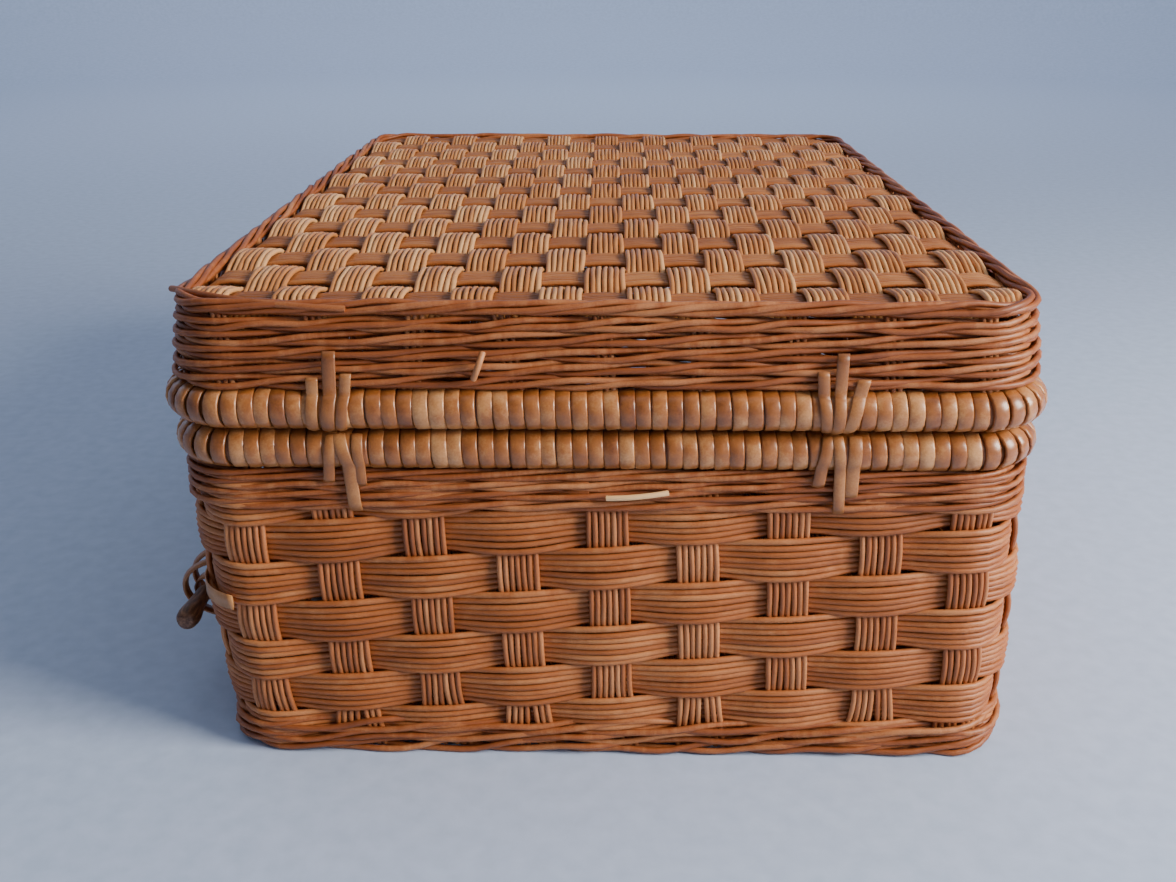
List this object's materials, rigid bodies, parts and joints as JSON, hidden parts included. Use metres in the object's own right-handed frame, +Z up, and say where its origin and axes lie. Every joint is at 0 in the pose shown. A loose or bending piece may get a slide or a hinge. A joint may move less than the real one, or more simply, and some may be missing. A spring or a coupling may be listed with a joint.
{
  "type": "lidded rattan hamper",
  "caption": "Low rectangular rattan hamper with a hinged woven lid, cane-wrapped rims, cane hinge loops, hasp and peg closures and a drop handle.",
  "frame": {"origin": "centre of the floor's underside, on the surface that the hamper stands on", "axes": "+Y along the long sides, +X across to the hinge side, so the closures and the handle are on -X, and +Z up"},
  "size_m": [0.3528, 0.4624, 0.191],
  "materials": {
    "reed_wall": "satin",
    "reed_lid": "satin",
    "reed_twined": "satin",
    "rattan_pole": "matte",
    "peeled_cane": "gloss",
    "peg_wood": "satin"
  },
  "bodies": {
    "base": {"base_floor": "reed_wall", "base_foot_border": "reed_twined", "base_lashing_far_1": "peeled_cane", "base_lashing_far_2": "peeled_cane", "base_lashing_front_1": "peeled_cane", "base_lashing_front_2": "peeled_cane", "base_lashing_front_3": "peeled_cane", "base_lashing_hinge_1": "peeled_cane", "base_lashing_hinge_2": "peeled_cane", "base_lashing_hinge_3": "peeled_cane", "base_lashing_near_1": "peeled_cane", "base_lashing_near_2": "peeled_cane", "base_rim_core": "rattan_pole", "base_rim_wrap": "peeled_cane", "base_waling": "reed_twined", "base_wall": "reed_wall", "closure_tie_far": "peeled_cane", "closure_tie_near": "peeled_cane", "handle_eye_1": "peeled_cane", "handle_eye_2": "peeled_cane", "staple_far_inner": "peeled_cane", "staple_far_outer": "peeled_cane", "staple_near_inner": "peeled_cane", "staple_near_outer": "peeled_cane"},
    "hinge_loops": {"hinge_loop_1": "peeled_cane", "hinge_loop_2": "peeled_cane"},
    "lid": {"lid_edge_border": "reed_lid", "lid_lashing_far_1": "peeled_cane", "lid_lashing_far_2": "peeled_cane", "lid_lashing_front_1": "peeled_cane", "lid_lashing_front_2": "peeled_cane", "lid_lashing_front_3": "peeled_cane", "lid_lashing_hinge_1": "peeled_cane", "lid_lashing_hinge_2": "peeled_cane", "lid_lashing_hinge_3": "peeled_cane", "lid_lashing_near_1": "peeled_cane", "lid_lashing_near_2": "peeled_cane", "lid_panel": "reed_lid", "lid_rim_core": "rattan_pole", "lid_rim_wrap": "peeled_cane", "lid_side": "reed_twined"},
    "hasp_near": {"hasp_near": "peeled_cane"},
    "hasp_far": {"hasp_far": "peeled_cane"},
    "peg_near": {"peg_near": "peg_wood"},
    "peg_far": {"peg_far": "peg_wood"},
    "handle": {"handle_core": "rattan_pole", "handle_wrap": "peeled_cane"}
  },
  "joints": [
    {"name": "lid_turn", "type": "hinge", "parent": "hinge_loops", "child": "lid", "pos_m": [0.159, 0, 0.1504], "axis": [0, 1, 0], "range_deg": [0, 90]},
    {"name": "hinge_loop_roll", "type": "hinge", "parent": "base", "child": "hinge_loops", "pos_m": [0.157, 0, 0.1341], "axis": [0, 1, 0], "range_deg": [0, 90]},
    {"name": "hasp_near_swing", "type": "hinge", "parent": "lid", "child": "hasp_near", "pos_m": [-0.159, -0.1648, 0.1504], "axis": [0, 1, 0], "range_deg": [0, 80]},
    {"name": "hasp_far_swing", "type": "hinge", "parent": "lid", "child": "hasp_far", "pos_m": [-0.159, 0.1648, 0.1504], "axis": [0, 1, 0], "range_deg": [0, 80]},
    {"name": "peg_near_slide", "type": "slide", "parent": "base", "child": "peg_near", "axis": [0, 1, 0], "range_m": [-0.03, 0.014]},
    {"name": "peg_far_slide", "type": "slide", "parent": "base", "child": "peg_far", "axis": [0, -1, 0], "range_m": [-0.03, 0.014]},
    {"name": "handle_swing", "type": "hinge", "parent": "base", "child": "handle", "pos_m": [-0.1716, 0, 0.0994], "axis": [0, 1, 0], "range_deg": [0, 120]}
  ],
  "couplings": [
    {"joint": "hinge_loop_roll", "follows": "lid_turn", "ratio": 1}
  ]
}
